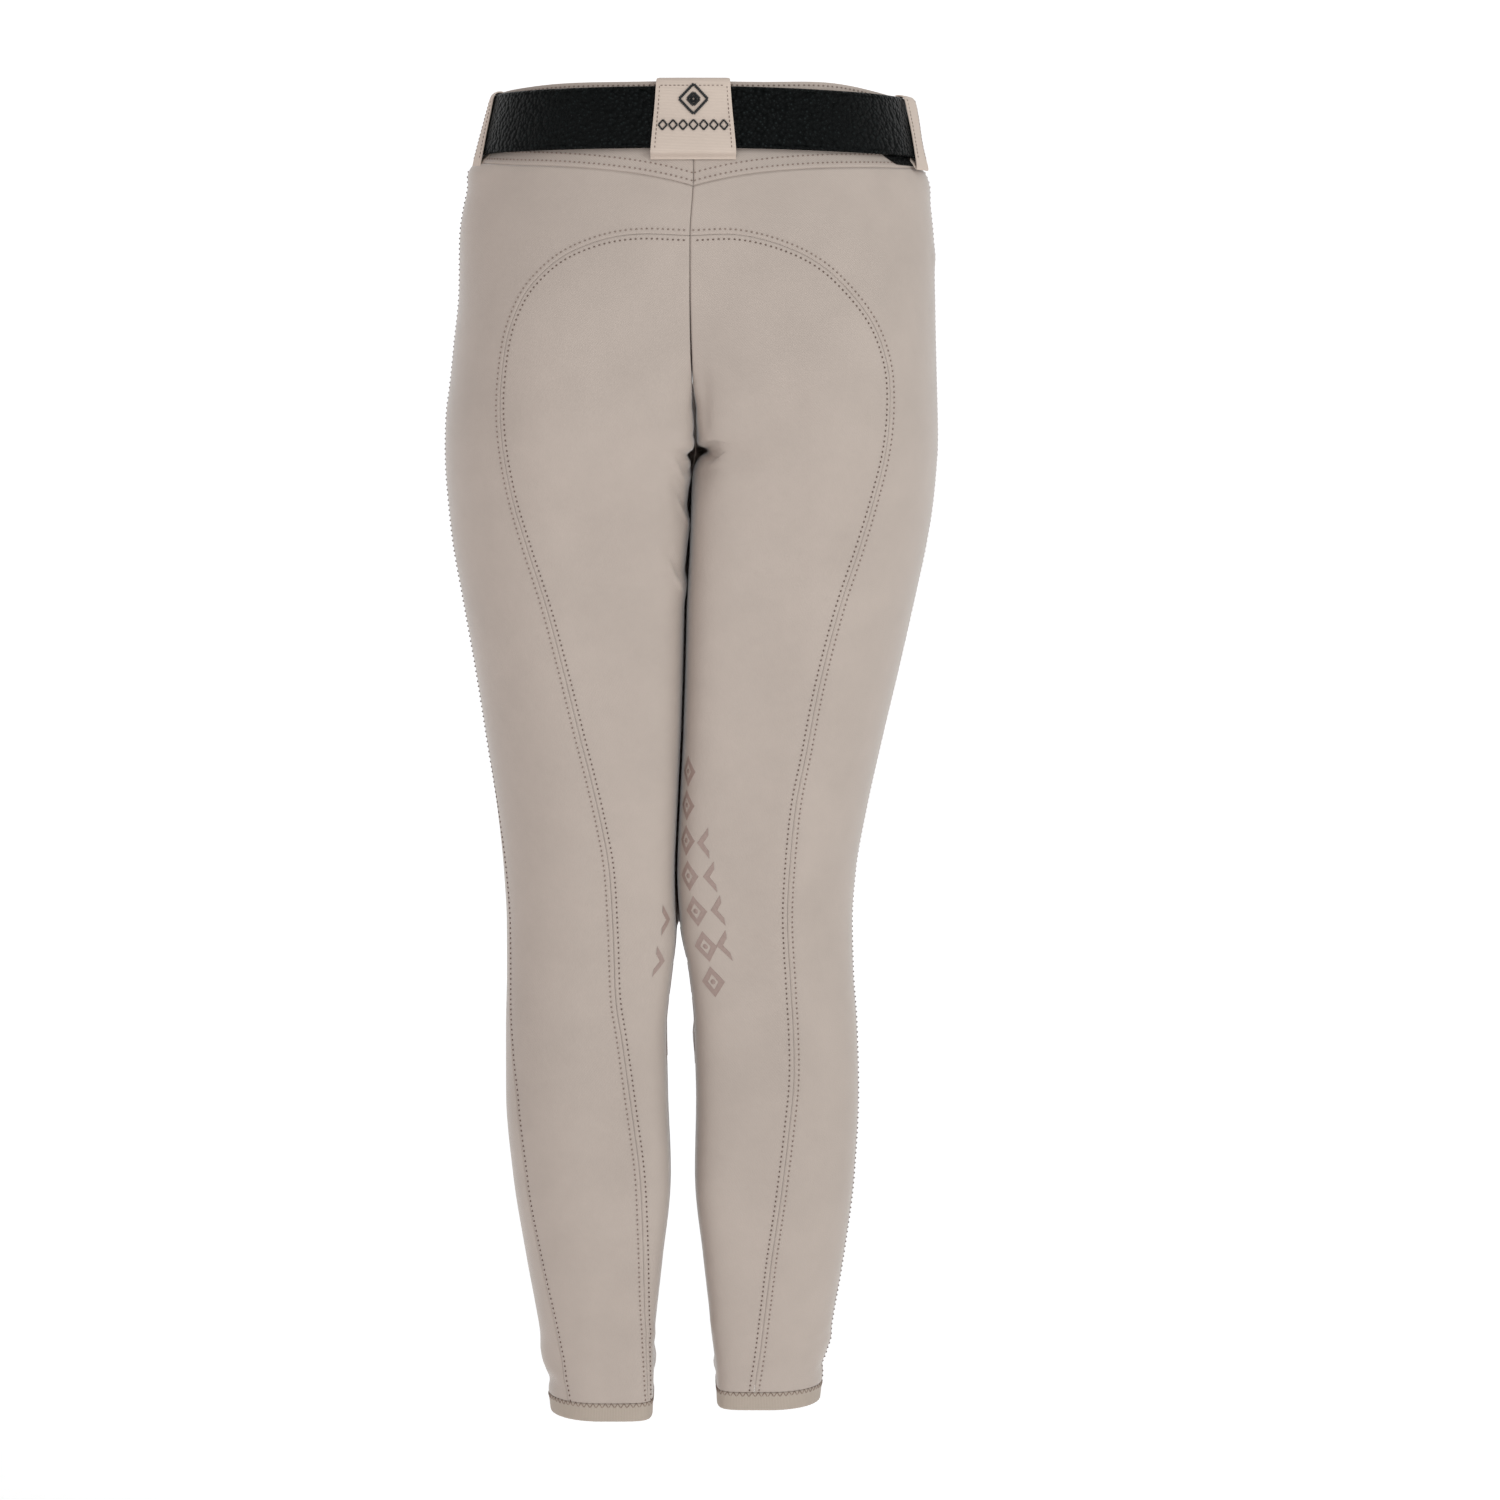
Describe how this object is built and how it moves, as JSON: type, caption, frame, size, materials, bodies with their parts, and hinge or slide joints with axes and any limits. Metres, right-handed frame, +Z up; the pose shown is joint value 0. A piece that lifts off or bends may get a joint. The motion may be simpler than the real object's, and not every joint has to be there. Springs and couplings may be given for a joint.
{
  "type": "riding breeches",
  "caption": "Full-seat riding breeches in worn shape with no wearer, contoured waistband, wide back loop, ankle bands and a leather belt.",
  "frame": {"origin": "at the waist, on the middle line of the belt and of the body", "axes": "+Z up, -Y out of the garment's back, +Y out of its front, +X to the wearer's right"},
  "size_m": [0.3456, 0.2276, 0.9397],
  "materials": {
    "cloth": "matte stretch twill",
    "loop_cloth": "matte stretch twill",
    "hem_cloth": "matte elastic jersey",
    "leather": "pebbled, satin",
    "steel": "satin",
    "thread": "sewing thread",
    "grip": "thin silicone print"
  },
  "bodies": {
    "root": {"seat_left": "cloth", "back_left": "cloth", "waistband_left": "cloth", "front_left_calf": "cloth", "front_left_thigh": "cloth", "front_left_hip": "cloth", "hem_left": "hem_cloth", "loop_left": "loop_cloth", "seat_right": "cloth", "back_right": "cloth", "waistband_right": "cloth", "front_right_calf": "cloth", "front_right_thigh": "cloth", "front_right_hip": "cloth", "hem_right": "hem_cloth", "loop_right": "loop_cloth", "loop_back": "loop_cloth", "fly": "cloth", "belt": "leather", "belt_backing": "leather", "buckle_tab_upper": "leather", "buckle_tab_lower": "leather", "belt_keeper": "leather", "buckle_frame": "steel", "buckle_prong": "steel"}
  },
  "joints": []
}
